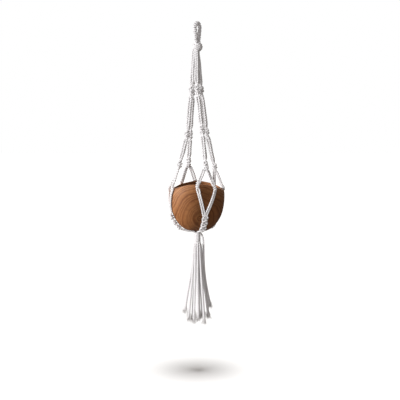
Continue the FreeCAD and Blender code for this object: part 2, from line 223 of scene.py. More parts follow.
def rope_rings(line, radius, phase, lay=LAY):
    """The rings of a twisted cord's surface along a line, and the turns it has made at each.

    The radius may change along the line, and the phase is how far the twist is turned at its start.
    """
    turns = length_along(line) / lay + phase
    directions = directions_round(line, OUTLINE_ANGLES[None, :] + math.tau * turns[:, None])
    reach = OUTLINE[None, :] * np.broadcast_to(radius, len(line))[:, None]
    return line[:, None, :] + directions * reach[..., None], turns


def new_object(name, points, faces, material):
    """A smooth mesh object in the scene, with one material."""
    mesh = bpy.data.meshes.new(name)
    mesh.from_pydata(points, [], faces)
    mesh.polygons.foreach_set("use_smooth", [True] * len(mesh.polygons))
    mesh.materials.append(material)
    mesh.update()
    made = bpy.data.objects.new(name, mesh)
    bpy.context.scene.collection.objects.link(made)
    return made


class Cords:
    """Gathers lengths of cord, and single fibres, into the mesh of one piece."""

    def __init__(self):
        self.points = []
        self.faces = []
        self.uvs = []
        self.count = 0

    def add_rings(self, rings, turns):
        """A closed tube through rings of points, with its two ends capped."""
        number, sides = rings.shape[:2]
        base = self.count
        middle = np.stack([rings[0].mean(0), rings[-1].mean(0)])
        self.points.append(np.vstack([rings.reshape(-1, 3), middle]))
        self.count += number * sides + 2
        for i in range(number - 1):
            low, high = base + i * sides, base + (i + 1) * sides
            u0, u1 = turns[i], turns[i + 1]
            for k in range(sides):
                j = (k + 1) % sides
                v0, v1 = k / sides, (k + 1) / sides
                self.faces.append((low + k, low + j, high + j, high + k))
                self.uvs.append(((u0, v0), (u0, v1), (u1, v1), (u1, v0)))
        first, last = base + number * sides, base + number * sides + 1
        top = base + (number - 1) * sides
        for k in range(sides):
            j = (k + 1) % sides
            v0, v1 = k / sides, (k + 1) / sides
            self.faces.append((first, base + j, base + k))
            self.uvs.append(((turns[0], v0), (turns[0], v1), (turns[0], v0)))
            self.faces.append((last, top + k, top + j))
            self.uvs.append(((turns[-1], v0), (turns[-1], v0), (turns[-1], v1)))

    def add_rope(self, line, radius, phase, lay=LAY):
        self.add_rings(*rope_rings(line, radius, phase, lay))

    def add_fibre(self, line, thickness):
        """One loose fibre, three-sided, thinning to its tip."""
        tip_share = 0.35
        directions = directions_round(line, np.arange(3) / 3 * math.tau)
        taper = np.linspace(1, tip_share, len(line)) * thickness
        rings = line[:, None, :] + directions * taper[:, None, None]
        self.add_rings(rings, np.linspace(0, 1, len(line)))

    def make(self, name, material):
        """The piece itself. Its UV map holds the turns along the cord and the share round it."""
        made = new_object(name, np.vstack(self.points).tolist(), self.faces, material)
        layer = made.data.uv_layers.new(name="UVMap")
        corners = [corner for face in self.uvs for corner in face]
        layer.data.foreach_set("uv", np.array(corners, np.float32).ravel())
        return made


# ------------------------------ materials

class Nodes:
    """A material's node tree, with short calls for the nodes that the finishes below use."""

    def __init__(self, name):
        self.material = bpy.data.materials.new(name)
        self.material.use_nodes = True
        self.tree = self.material.node_tree
        self.shader = self.tree.nodes["Principled BSDF"]

    def node(self, kind, **settings):
        made = self.tree.nodes.new(kind)
        for key, value in settings.items():
            setattr(made, key, value)
        return made

    def link(self, source, target):
        self.tree.links.new(source, target)

    def feed(self, socket, value):
        """Gives a socket a number, or another node's output."""
        if isinstance(value, (int, float)):
            socket.default_value = value
        elif value is not None:
            self.link(value, socket)

    def uniform(self, name, value):
        """Gives one of the shader's sockets the same value everywhere."""
        self.shader.inputs[name].default_value = value

    def mapped(self, vector, **settings):
        """A vector after the Location or Scale that the settings give."""
        made = self.node("ShaderNodeMapping", vector_type="POINT")
        for name, value in settings.items():
            made.inputs[name].default_value = value
        self.link(vector, made.inputs["Vector"])
        return made.outputs[0]

    def maths(self, operation, first, second=None):
        made = self.node("ShaderNodeMath", operation=operation)
        self.feed(made.inputs[0], first)
        self.feed(made.inputs[1], second)
        return made.outputs[0]

    def noise(self, vector, scale, detail, roughness=0.55, output="Fac"):
        made = self.node("ShaderNodeTexNoise")
        made.inputs["Scale"].default_value = scale
        made.inputs["Detail"].default_value = detail
        made.inputs["Roughness"].default_value = roughness
        self.link(vector, made.inputs["Vector"])
        return made.outputs[output]

    def ramp(self, value, *stops):
        made = self.node("ShaderNodeValToRGB")
        elements = made.color_ramp.elements
        while len(elements) < len(stops):
            elements.new(0.5)
        for element, (position, colour) in zip(elements, stops):
            element.position = position
            element.color = (*colour, 1.0)
        self.link(value, made.inputs["Fac"])
        return made.outputs["Color"]

    def multiplied(self, factor, first, second):
        """The first colour times the second, as far as the factor says."""
        made = self.node("ShaderNodeMix", data_type="RGBA", blend_type="MULTIPLY")
        self.feed(made.inputs[0], factor)
        self.feed(made.inputs[6], first)
        self.feed(made.inputs[7], second)
        return made.outputs[2]

    def bump(self, height, distance, strength):
        made = self.node("ShaderNodeBump")
        made.inputs["Strength"].default_value = strength
        made.inputs["Distance"].default_value = distance
        self.link(height, made.inputs["Height"])
        self.link(made.outputs["Normal"], self.shader.inputs["Normal"])


def cotton_material():
    """Undyed cotton: fine fibres that run along the cord, and painted shade deep in the grooves."""
    nodes = Nodes("cotton")
    position = nodes.node("ShaderNodeTexCoord")
    split = nodes.node("ShaderNodeSeparateXYZ")
    nodes.link(position.outputs["UV"], split.inputs[0])
    turns, round_cord = split.outputs[0], split.outputs[1]
    ply = nodes.maths("FRACT", nodes.maths("MULTIPLY", round_cord, 3.0))
    ridge = nodes.maths("SINE", nodes.maths("MULTIPLY", ply, math.pi))
    unwound = nodes.maths("ADD", round_cord, turns)
    fibre = nodes.node("ShaderNodeCombineXYZ")
    nodes.link(nodes.maths("MULTIPLY", unwound, 60.0), fibre.inputs[0])
    nodes.link(nodes.maths("MULTIPLY", turns, 9.0), fibre.inputs[1])
    fibres = nodes.noise(fibre.outputs[0], 1.0, 4.0, 0.6)
    fluff = nodes.noise(position.outputs["Object"], 900.0, 3.0)
    patches = nodes.noise(position.outputs["Object"], 40.0, 2.0)
    tint = nodes.ramp(patches, (0.3, (0.90, 0.89, 0.89)), (0.7, (0.96, 0.955, 0.955)))
    streaks = nodes.ramp(fibres, (0.25, (0.88, 0.86, 0.85)), (0.6, (1.0, 1.0, 1.0)))
    tint = nodes.multiplied(0.5, tint, streaks)
    # painted shade: the colour darkens toward the grooves between the plies, where shade falls
    shade = nodes.ramp(ridge, (0.0, (0.66, 0.63, 0.62)), (0.45, (1.0, 1.0, 1.0)))
    nodes.link(nodes.multiplied(0.7, tint, shade), nodes.shader.inputs["Base Color"])
    nodes.uniform("Roughness", 0.92)
    nodes.uniform("Sheen Weight", 0.25)
    nodes.uniform("Sheen Roughness", 0.6)
    nodes.uniform("Specular IOR Level", 0.2)
    height = nodes.maths("ADD", fibres, nodes.maths("MULTIPLY", fluff, 0.5))
    nodes.bump(height, 0.0005, 0.7)
    return nodes.material


def fray_material():
    """The loose fibres of a cut end: the same cotton, more uneven in its shade."""
    nodes = Nodes("loose_cotton")
    position = nodes.node("ShaderNodeTexCoord")
    patches = nodes.noise(position.outputs["Object"], 220.0, 3.0)
    colour = nodes.ramp(patches, (0.3, (0.78, 0.76, 0.74)), (0.65, (0.94, 0.93, 0.92)))
    nodes.link(colour, nodes.shader.inputs["Base Color"])
    nodes.uniform("Roughness", 0.95)
    nodes.uniform("Sheen Weight", 0.2)
    nodes.uniform("Specular IOR Level", 0.15)
    nodes.bump(patches, 0.0002, 0.5)
    return nodes.material


def wood_material():
    """Teak cut from a log that lies front to back: uneven, wandering rings about its pith.

    Everything stretches along the log, and the rings are clearer in some places than in others.
    """
    to_pith = (-0.029, 0.0, 0.566)      # brings the pith's line to the origin
    wander_reach = 0.036
    rings_per_metre = 112.0
    fine_rings_per_metre = 290.0
    nodes = Nodes("teak")
    position = nodes.node("ShaderNodeTexCoord").outputs["Object"]
    flat = nodes.mapped(nodes.mapped(position, Location=to_pith), Scale=(1.0, 0.12, 1.0))
    wander = nodes.noise(flat, 11.0, 3.0, 0.5, "Color")
    pull = nodes.node("ShaderNodeVectorMath", operation="SCALE")
    nodes.link(wander, pull.inputs[0])
    pull.inputs["Scale"].default_value = wander_reach
    bent = nodes.node("ShaderNodeVectorMath", operation="ADD")
    nodes.link(flat, bent.inputs[0])
    nodes.link(pull.outputs[0], bent.inputs[1])
    across = nodes.node("ShaderNodeSeparateXYZ")
    nodes.link(bent.outputs[0], across.inputs[0])
    x, z = across.outputs[0], across.outputs[2]
    squares = nodes.maths("ADD", nodes.maths("MULTIPLY", x, x), nodes.maths("MULTIPLY", z, z))
    distance = nodes.maths("SQRT", squares)
    even_years = nodes.maths("MULTIPLY", distance, rings_per_metre)
    uneven = nodes.maths("SINE", nodes.maths("MULTIPLY", distance, 190.0))
    years = nodes.maths("ADD", even_years, nodes.maths("MULTIPLY", uneven, 0.42))
    ring = nodes.maths("FRACT", years)
    fine_ring = nodes.maths("FRACT", nodes.maths("MULTIPLY", distance, fine_rings_per_metre))
    grain = nodes.mapped(position, Scale=(1.0, 0.06, 1.0))
    pores = nodes.noise(grain, 900.0, 3.0, 0.7)
    streaks = nodes.noise(grain, 120.0, 4.0, 0.6)
    heart = nodes.ramp(
        nodes.maths("MULTIPLY", distance, 8.0),
        (0.10, (0.320, 0.142, 0.056)),
        (0.38, (0.285, 0.120, 0.045)),
        (0.66, (0.300, 0.132, 0.052)),
        (0.92, (0.370, 0.190, 0.098)),
    )
    late_wood = nodes.ramp(
        ring,
        (0.0, (0.40, 0.28, 0.20)),
        (0.13, (0.90, 0.85, 0.80)),
        (0.50, (1.14, 1.12, 1.08)),
        (0.90, (0.66, 0.54, 0.44)),
    )
    clearness = nodes.noise(flat, 26.0, 2.0)
    clear_ring = nodes.ramp(clearness, (0.38, (0.55,) * 3), (0.56, (1.0,) * 3))
    thin_lines = nodes.ramp(fine_ring, (0.0, (0.86, 0.82, 0.78)), (0.35, (1.0, 1.0, 1.0)))
    streaking = nodes.ramp(streaks, (0.30, (0.78, 0.72, 0.66)), (0.70, (1.12, 1.09, 1.04)))
    speckle = nodes.ramp(pores, (0.33, (0.62, 0.56, 0.50)), (0.47, (1.0, 1.0, 1.0)))
    colour = nodes.multiplied(clear_ring, heart, late_wood)
    colour = nodes.multiplied(0.6, colour, thin_lines)
    colour = nodes.multiplied(0.7, colour, streaking)
    colour = nodes.multiplied(0.45, colour, speckle)
    nodes.link(colour, nodes.shader.inputs["Base Color"])
    rough = nodes.ramp(streaks, (0.3, (0.52,) * 3), (0.7, (0.68,) * 3))
    nodes.link(rough, nodes.shader.inputs["Roughness"])
    nodes.uniform("Specular IOR Level", 0.18)
    height = nodes.maths("ADD", pores, nodes.maths("MULTIPLY", ring, 0.25))
    nodes.bump(height, 0.0006, 0.5)
    return nodes.material


COTTON = cotton_material()
LOOSE_COTTON = fray_material()
TEAK = wood_material()


# ------------------------------ the camera

def make_camera():
    """In front of the planter, far enough above the bowl's rim to see a little way into it."""
    target = np.array([0.0084, 0.0, -0.536])
    rise = math.radians(5.5)
    distance = 3.0
    width_in_view = 1.24
    data = bpy.data.cameras.new("camera")
    data.lens = data.sensor_width * distance / width_in_view
    camera = bpy.data.objects.new("camera", data)
    camera.location = target + distance * np.array([0.0, -math.cos(rise), math.sin(rise)])
    camera.rotation_euler = (Vector(target) - camera.location).to_track_quat("-Z", "Y").to_euler()
    bpy.context.scene.collection.objects.link(camera)
    bpy.context.scene.camera = camera


make_camera()


# ------------------------------ the tassel

WRAP_START = 48            # the azimuth at which the wrapping cord starts, and its free end too
LOWEST_FIBRE = -0.9225     # the frayed ends stop here, a little below the longest CAD strand

# How thick a hanging strand is, as shares of its length and of the cord's diameter: the wrap grips
# its start, and it loosens as it hangs.
STRAND_SHARES = (0.0, 0.15, 0.45, 1.0)
STRAND_RADII = (0.46, 0.56, 0.63, 0.68)

# The routes of the tassel's strands as (azimuth, reach, depth), in millimetres as in the part.
TASSEL_STRANDS = {
    "front": (
        ((332, 12.2, 675), (331, 13.4, 713), (334, 15.8, 765),
         (336, 19, 815), (335, 22, 863), (333, 24, 911)),
        ((5, 12.2, 675), (6, 13.6, 714), (3, 16.5, 767),
         (5, 20, 816), (7, 23.5, 862), (8, 26, 905)),
        ((38, 12.2, 675), (37, 14.2, 712), (40, 18.6, 764),
         (38, 24.5, 814), (39, 30, 864), (39, 34, 914)),
        ((10, 5.6, 675), (12, 6, 713), (5, 7, 766),
         (10, 8.6, 816), (14, 10, 861), (16, 11, 902)),
    ),
    "right": (
        ((70, 12.2, 675), (71, 14.2, 713), (69, 18.4, 765),
         (71, 24.5, 814), (72, 31, 858), (69, 35.5, 896)),
        ((103, 11.4, 675), (104, 12.6, 712), (106, 16, 764),
         (106, 24, 813), (105, 31, 858), (108, 36, 899)),
        ((136, 12.2, 675), (135, 13.8, 714), (138, 17, 767),
         (135, 21.5, 816), (136, 26.5, 862), (137, 30, 903)),
        ((82, 5.6, 675), (84, 6.3, 712), (89, 8.2, 764),
         (85, 11, 814), (86, 14, 859), (88, 16, 900)),
    ),
    "back": (
        ((169, 12.2, 675), (170, 13.5, 713), (168, 16, 765),
         (170, 20.5, 815), (170, 25, 860), (168, 28, 900)),
        ((201, 12.2, 675), (202, 13.6, 712), (200, 17, 766),
         (202, 22, 816), (203, 26.5, 864), (201, 30, 908)),
        ((234, 12.2, 675), (233, 13.9, 714), (236, 17.6, 766),
         (235, 23.5, 815), (234, 29, 861), (236, 33, 902)),
        ((154, 5.6, 675), (152, 6.1, 713), (150, 7.6, 765),
         (154, 9.5, 815), (156, 11.5, 862), (153, 13, 906)),
    ),
    "left": (
        ((267, 12.2, 675), (268, 14.4, 712), (266, 19, 762),
         (267, 26.5, 806), (268, 33.5, 847), (267, 39, 884)),
        ((300, 12.2, 675), (301, 13.9, 714), (299, 17.2, 767),
         (301, 22.5, 816), (302, 27.5, 862), (300, 31.5, 905)),
        ((226, 5.6, 675), (228, 6.1, 713), (223, 8, 765),
         (226, 10.8, 814), (228, 13.2, 859), (225, 15, 899)),
        ((298, 5.6, 675), (296, 6.2, 712), (300, 8.3, 764),
         (297, 11.4, 814), (296, 14.5, 862), (299, 17, 907)),
    ),
}
WRAP_TAIL = (
    (92, 14.7, 645), (93, 18.4, 656), (94, 19.3, 680), (93, 19.4, 716),
    (94, 21.6, 762), (93, 29, 815), (94, 40, 866),
)


def route_points(route):
    return [at(azimuth, reach * MILLIMETRE, depth * MILLIMETRE) for azimuth, reach, depth in route]


def spline_line(name, points):
    """The points of a smooth NURBS line that a route's points steer, evenly spaced."""
    curve = bpy.data.curves.new(name, "CURVE")
    curve.dimensions = "3D"
    curve.resolution_u = 24
    spline = curve.splines.new("NURBS")
    spline.points.add(len(points) - 1)
    for point, place in zip(spline.points, points):
        point.co = (*place, 1.0)
    spline.order_u = 3
    spline.use_endpoint_u = True
    holder = bpy.data.objects.new(name, curve)
    mesh = bpy.data.meshes.new_from_object(holder)
    fine = np.array([tuple(v.co) for v in mesh.vertices])
    bpy.data.objects.remove(holder)
    bpy.data.curves.remove(curve)
    bpy.data.meshes.remove(mesh)
    return respaced(fine, length_along(fine), STEP)


def frayed_end(name, line, rng):
    """The brush of loose fibres at a cut end, which fans out where the plies have opened."""
    fibres = 84
    longest = 0.021
    brush = Cords()
    tip = line[-1]
    direction = unit(line[-1] - line[-4])
    side = unit(np.cross(direction, [0.3, 1.0, 0.2]))
    other = np.cross(direction, side)
    for _ in range(fibres):
        angle = rng.uniform(0, math.tau)
        out = math.sqrt(rng.random())
        away = side * math.cos(angle) + other * math.sin(angle)
        root = tip - direction * rng.uniform(0.005, 0.018) + away * out * CORD * 0.52
        length = longest * rng.uniform(0.55, 1.0)
        flare = out * rng.uniform(0.10, 0.60)
        bow = unit(np.array([rng.gauss(0, 1), rng.gauss(0, 1), rng.gauss(0, 1)])) * length * 0.06
        stations = np.linspace(0, 1, 5)[:, None]
        fibre = root + direction * stations * length + away * flare * length * stations**1.5
        fibre = fibre + bow * np.sin(stations * math.pi)
        fibre[:, 2] = np.maximum(fibre[:, 2], LOWEST_FIBRE)
        brush.add_fibre(fibre, rng.uniform(0.00035, 0.00075))
    return brush.make(name, LOOSE_COTTON)


def hanging_strand(name, points, node, rng, bend=None):
    """One free strand with its frayed end.

    It rides the tassel; where a bend is given, it joins no body and its transform is baked in instead.
    It narrows at its tip.
    """
    tip_share, tip_length = 0.72, 0.012
    line = spline_line(name + "_route", points)
    along = length_along(line)
    to_tip = along[-1] - along
    radius = CORD * np.interp(along / along[-1], STRAND_SHARES, STRAND_RADII)
    radius *= np.clip(tip_share + to_tip / tip_length, tip_share, 1.0)
    strand = Cords()
    strand.add_rope(line, radius, phase=rng.random())
    piece = strand.make(name, COTTON)
    fray = frayed_end(name + "_frayed_end", line, rng)
    for made in (piece, fray):
        if bend:
            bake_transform(made)
        else:
            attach(made, "tassel")
    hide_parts(node)


def make_tassel():
    """Sixteen strands that come out of the wrap's lower end and fan out as they hang."""
    for group, strands in TASSEL_STRANDS.items():
        for number, route in enumerate(strands, start=1):
            rng = random.Random(f"{group}{number}")
            azimuth, reach, _ = route[0]
            inside = at(azimuth, reach * MILLIMETRE * 0.30, WRAP_BOTTOM - 0.011)
            leaving = at(azimuth, reach * MILLIMETRE * 0.52, WRAP_BOTTOM - 0.0005)
            points = [inside, leaving] + route_points(route)
            name = f"{group}_tassel_strand_{number}"
            hanging_strand(name, points, f"{group}_tassel_strands", rng)


def make_wrap_tail():
    """The wrapping cord's free end, which bows out of the wrap's side."""
    tucked = [
        at(WRAP_START, 0.0075, WRAP_TOP + 0.0015),
        at(70, 0.0098, WRAP_TOP + 0.0017),
        at(84, 0.0122, WRAP_TOP + 0.0035),
    ]
    points = tucked + route_points(WRAP_TAIL)
    bend = ("wrap", "tassel", (0, 0, -WRAP_TOP - 0.008), (0, 0, -WRAP_BOTTOM - 0.017))
    hanging_strand("wrap_tail_cord", points, "wrap_tail", random.Random("tail"), bend)


make_tassel()
make_wrap_tail()


# ------------------------------ the sling

def square_knot(tall, wide, deep):
    """The four strands of a square knot that tall, each as points (outwards, sideways, down).

    The lists give millimetres outwards and sideways, to be scaled, and a share of the height. The
    two middle strands run straight through. The left one crosses their front and comes back, and
    the right one crosses their back and comes back, each round the other's turn at the side.
    """
    front_core = [(2.9, 0, 0.0), (2.5, 0, 0.3), (2.5, 0, 0.7), (2.9, 0, 1.0)]
    left = [
        (0.4, -5.0, 0.0), (3.4, -5.6, 0.11), (6.6, -4.0, 0.22), (7.6, 0.0, 0.30),
        (5.8, 4.4, 0.37), (0.6, 6.6, 0.47), (1.0, 6.8, 0.55), (5.9, 4.6, 0.65),
        (7.6, 0.2, 0.72), (6.4, -4.2, 0.79), (2.4, -6.2, 0.90), (0.2, -5.0, 1.0),
    ]
    right = [
        (-0.4, 5.0, 0.0), (3.0, 6.9, 0.12), (4.6, 7.3, 0.22), (-2.0, 6.8, 0.33),
        (-6.4, 3.6, 0.36), (-7.6, -0.4, 0.34), (-5.0, -4.8, 0.36), (1.6, -6.9, 0.45),
        (4.4, -7.2, 0.56), (-1.8, -6.6, 0.68), (-6.4, -3.4, 0.72), (-7.6, 0.4, 0.74),
        (-5.4, 4.6, 0.80), (-1.0, 6.2, 0.90), (-0.2, 5.0, 1.0),
    ]
    back_core = [(-out, side, share) for out, side, share in front_core]
    thick, broad = deep * MILLIMETRE, wide * MILLIMETRE
    strands = []
    for strand in (front_core, back_core, left, right):
        strands.append([(out * thick, side * broad, share * tall) for out, side, share in strand])
    return strands


def placed(strand, centre, down, out, tall):
    """A knot's strand in the frame: its height runs down through the knot's centre."""
    down = unit(down)
    side = unit(np.cross(down, out))
    out = unit(np.cross(side, down))
    points = []
    for outwards, sideways, below in strand:
        points.append(centre + out * outwards + side * sideways + down * (below - tall / 2))
    return points


class Strand:
    """One strand's whole line through the sling, as stretches that each belong to a CAD node."""

    def __init__(self, rng):
        self.points = []
        self.radii = []
        self.nodes = []
        self.phase = rng.random()

    def run(self, node, points, radius):
        """Adds points that belong to a node, with one radius for all or a list of one for each."""
        closest = 0.0008
        radii = radius if isinstance(radius, list) else [radius] * len(points)
        for point, value in zip(points, radii):
            if self.points and np.linalg.norm(point - self.points[-1]) < closest:
                continue
            self.points.append(point)
            self.radii.append(value)
            self.nodes.append(node)

    def put_into(self, pieces):
        """Cuts the strand's surface at the nodes' ends and adds each stretch to its piece."""
        hair = 1e-9
        line, marks = smooth_line(self.points)
        along = length_along(line)
        radius = np.interp(along, marks, self.radii)
        rings, turns = rope_rings(line, radius, self.phase)
        start = 0
        for number in range(1, len(self.nodes) + 1):
            is_last = number == len(self.nodes)
            if not is_last and self.nodes[number] == self.nodes[start]:
                continue
            first = int(np.searchsorted(along, marks[start] - hair))
            last = len(line) - 1 if is_last else int(np.searchsorted(along, marks[number] - hair))
            if last - first >= 2:
                cords = pieces.setdefault(self.nodes[start], Cords())
                cords.add_rings(rings[first : last + 1], turns[first : last + 1])
            start = number


def span(start, end, spread, gathered, rng):
    """Points of a strand between two knots, which bellies out a little from its neighbours.

    The spread is the way from the arm's middle, and gathered is the share of it at the start.
    """
    bulge = 0.12
    points = []
    for share in (0.12, 0.36, 0.64, 0.88):
        belly = (1 + bulge * math.sin(math.pi * share)) * (gathered + (1 - gathered) * share)
        wobble = np.array([rng.gauss(0, 0.0004) for _ in range(3)])
        points.append(start + (end - start) * share + spread * belly + wobble)
    return points


KNOT_HEIGHT = 0.0225
PLACES = ((1, 0), (-1, 0), (0, -1), (0, 1))    # front, back, left and right in an arm
STRAND_SPREAD = 0.0044                         # how far each lies from the arm's middle
GATHERED = 0.80                                # and at the crown, as a share of that
CROWN_START = (0.0070, 0.010)                  # an arm's start from the crown's middle: out, down
CROWN_SHIFT = np.array([-0.0045, 0.0, 0.0])    # all of them start left of its middle
CROWN_RADII = [FREE * share for share in (0.86, 0.88, 0.92, 0.97, 1.0)]


def make_arm(arm):
    """One arm's four strands, from inside the crown knot through its three square knots."""
    rng = random.Random(arm)
    top, middle, lower = [centre_of(f"{arm}_{place}_knot") for place in ("top", "middle", "lower")]
    azimuth = azimuth_of(lower)
    crown = CROWN + at(azimuth, *CROWN_START) + CROWN_SHIFT
    out = at(azimuth, 1, 0)
    side = at(azimuth + 90, 1, 0)
    strands = [Strand(rng) for _ in range(4)]
    stretches = (
        ("upper_cords", "top_knot", top, middle),
        ("middle_cords", "middle_knot", middle, lower),
        ("lower_cords", "lower_knot", lower, lower * 2 - middle),
    )
    here = crown
    for cords, knot, centre, beyond in stretches:
        down = unit(beyond - here)
        outwards = unit(np.cross(np.cross(down, out), down))
        shapes = square_knot(KNOT_HEIGHT, 0.90, 0.90)
        rng.choice((1, -1))    # a draw that nothing uses: it keeps the wobbles that follow the same
        knot_top = centre - down * KNOT_HEIGHT / 2
        start = here if here is crown else here + down * KNOT_HEIGHT / 2
        for strand, place, shape in zip(strands, PLACES, shapes):
            spread = outwards * place[0] * STRAND_SPREAD + side * place[1] * STRAND_SPREAD
            if here is crown:
                points = [crown + spread * GATHERED] + span(start, knot_top, spread, GATHERED, rng)
                strand.run(f"{arm}_{cords}", points, CROWN_RADII)
            else:
                strand.run(f"{arm}_{cords}", span(start, knot_top, spread, 1.0, rng), FREE)
            strand.run(f"{arm}_{knot}", placed(shape, centre, down, outwards, KNOT_HEIGHT), TIGHT)
        here = centre
    return strands, lower


def rim_knot(centre, down, out, pair, node):
    """Two cords at the rim: one runs through, the other is hitched round it twice."""
    height = 0.017
    wide, deep = 0.0043, 0.0031
    first_angle, turned, steps = 80, 740, 18
    side = unit(np.cross(down, out))
    core, hitch = pair
    through = [(0.0004, -0.0012, 0.0), (0.0, 0.0, 0.35), (0.0, 0.0, 0.65), (0.0002, -0.0012, 1.0)]
    straight = []
    for outwards, sideways, share in through:
        straight.append(centre + out * outwards + side * sideways + down * (share - 0.5) * height)
    core.run(node, straight, TIGHT)
    turns = []
    for step in range(steps + 1):
        share = step / steps
        angle = math.radians(first_angle + share * turned)
        point = centre + side * math.sin(angle) * wide + out * math.cos(angle) * deep
        turns.append(point + down * ((share - 0.5) * height * 0.72))
    hitch.run(node, turns, TIGHT * 0.92)


LEG_SPREAD = 0.0032          # how far a leg's two cords lie from its middle
RIM_KNOT_END = 0.011         # how far below a rim knot's middle its cords come out
CRADLE_SPREAD = 0.0028       # how far the two cords of a pair lie from the pair's middle
CRADLE_SIDE = 0.0042         # and how far that is from the braid's middle where the V closes
CRADLE_GAP = 0.0041          # how far off the wood they run
BRAID_LEAD = 0.0055          # how far above the braid they end
SINNET_KNOTS = 3
SINNET_GAP = 0.0071          # how far off the wood the braid's middle runs
SINNET_DEPTHS = (0.576, 0.588, 0.600, 0.611, 0.620)    # the braid's own line, as in the part


def make_rim(arm, strands, lower):
    """Each arm's two pairs: down to the knots at the rim, and on down the bowl to the braid."""
    rng = random.Random(arm + "rim")
    front, back, left, right = strands
    pairs = {"left": (left, back), "right": (right, front)}
    sinnet_azimuth = azimuth_of(centre_of(f"{arm}_sinnet"))
    for hand, sign in (("left", -1), ("right", 1)):
        rim = centre_of(f"{arm}_{hand}_rim_knot")
        rim_azimuth = azimuth_of(rim)
        down = unit(rim - lower)
        away = unit(np.array([rim[0], rim[1], 0.0]))
        across = unit(np.cross(down, away))
        outer, inner = pairs[hand]
        for strand, shift in ((outer, sign), (inner, -sign)):
            points = []
            for share in (0.24, 0.45, 0.7, 0.88):
                middle = lower + (rim - lower) * share
                wobble = np.array([rng.gauss(0, 0.0003) for _ in range(3)])
                opening = 0.85 + 0.25 * share
                points.append(middle + across * shift * LEG_SPREAD * opening + wobble)
            strand.run(f"{arm}_{hand}_leg", points, FREE)
        straight = unit(down + np.array([0, 0, -1.0]))
        rim_knot(rim, straight, away, (outer, inner), f"{arm}_{hand}_rim_knot")
        rim_depth = -rim[2] + RIM_KNOT_END
        last_depth = SINNET_DEPTHS[0] - BRAID_LEAD
        for strand, shift in ((outer, sign), (inner, -sign)):
            points = []
            for share in (0.0, 0.25, 0.5, 0.75, 1.0):
                depth = rim_depth + share * (last_depth - rim_depth)
                turn = rim_azimuth + share * (sinnet_azimuth - rim_azimuth)
                offset = shift * CRADLE_SPREAD + sign * share * CRADLE_SIDE
                turn += math.degrees(offset / bowl_radius_at(depth))
                points.append(beside_bowl(turn, depth, CRADLE_GAP))
            strand.run(f"{arm}_cradle_cords", points, FREE * 0.90)
    return sinnet_azimuth


def make_sinnet(arm, strands, azimuth):
    """The braid under the bowl: square knots in a row, bent round its lower curve."""
    core_shift = 0.0023
    spots = [beside_bowl(azimuth, depth, SINNET_GAP) for depth in SINNET_DEPTHS]
    line, _ = smooth_line(spots, step=0.0005)
    along = length_along(line)
    tangents = tangents_along(line)
    side = at(azimuth + 90, 1, 0)
    tall = along[-1] / SINNET_KNOTS
    shapes = square_knot(tall, 1.12, 0.56)
    for number in range(SINNET_KNOTS):
        for strand, shape, core in zip(strands, shapes, (1, -1, 0, 0)):
            points = []
            for out_by, side_by, below in shape:
                if core:
                    out_by, side_by = 0.0, core * core_shift
                here = number * tall + below
                outwards = unit(np.cross(side, unit(value_at(here, along, tangents))))
                if outwards @ at(azimuth, 1, 0) < 0:
                    outwards = -outwards
                points.append(value_at(here, along, line) + outwards * out_by + side * side_by)
            strand.run(f"{arm}_sinnet", points, TIGHT * 0.95)


# The last stretch's stations: the reach, the depth under the bowl's base, and the shares of the
# strands' spots and of their free radius.
BASE_STATIONS = (
    (0.030, 0.0036, 1.9, 0.95),
    (0.019, 0.0046, 1.35, 0.88),
    (0.0105, 0.0072, 1.0, 0.78),
    (0.0062, 0.0135, 0.8, 0.70),
    (0.0048, 0.0230, 0.7, 0.65),
)
BASE_SPOTS = ((0.0, -0.0011), (0.0, 0.0011), (0.0006, -0.0030), (0.0006, 0.0030))    # down, sideways


def make_base(strands, azimuth):
    """The last stretch: the strands draw together under the bowl and turn down into the wrap."""
    side = at(azimuth + 90, 1, 0)
    for strand, (drop, shift) in zip(strands, BASE_SPOTS):
        points = []
        for reach, below, width, _ in BASE_STATIONS:
            points.append(at(azimuth, reach, BOWL_BASE + below + drop) + side * shift * width)
        strand.run("base_cords", points, [FREE * share for *_, share in BASE_STATIONS])


def make_sling():
    """All four arms. Each CAD node of theirs gets one piece of cord work in its place."""
    pieces = {}
    for arm in ARMS:
        strands, lower = make_arm(arm)
        azimuth = make_rim(arm, strands, lower)
        make_sinnet(arm, strands, azimuth)
        make_base(strands, azimuth)
        for strand in strands:
            strand.put_into(pieces)
    for node, cords in pieces.items():
        made = cords.make(node + "_rope", COTTON)
        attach(made, "sling")
        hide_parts(node)


make_sling()


# ------------------------------ loop, crown and wrap

LOOP_AZIMUTH = 52.0     # which way the plane of the loop lies

# Half of the loop's line, from the crown knot to the top, as (sideways, depth).
HALF_LOOP = (
    (-0.0050, 0.056), (-0.0061, 0.048), (-0.0085, 0.031), (-0.0108, 0.0155),
    (-0.0117, 0.0062), (-0.0085, -0.0022), (0.0, -0.00575),
)


